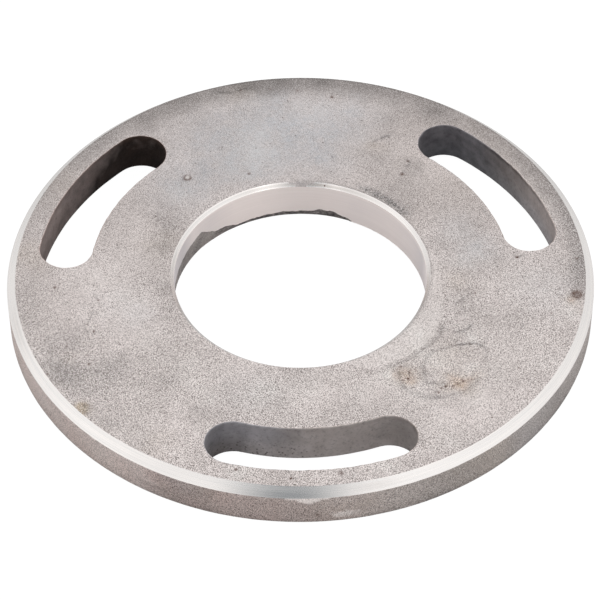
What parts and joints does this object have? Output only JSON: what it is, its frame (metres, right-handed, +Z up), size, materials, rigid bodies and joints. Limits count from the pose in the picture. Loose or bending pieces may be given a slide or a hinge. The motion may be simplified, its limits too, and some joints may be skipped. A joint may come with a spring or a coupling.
{
  "type": "toilet flange",
  "caption": "Flat cast metal clamping ring with a turned central bore for a waste pipe, a chamfered outer edge and curved slots for its bolts.",
  "frame": {"origin": "centre of the bore in the plane of the underside, the face that the ring rests on", "axes": "+Z up the bore axis, from the underside to the face with the turned outer edge; +X midway between two bolt slots, so that the slots are centred at 30, 150 and 270 degrees from +X"},
  "size_m": [0.21, 0.21, 0.016],
  "materials": {
    "cast_aluminium": "as-cast matt skin, with a fine turned finish on the bore and on both chamfers"
  },
  "bodies": {
    "root": {"flange_ring": "cast_aluminium"}
  },
  "joints": []
}
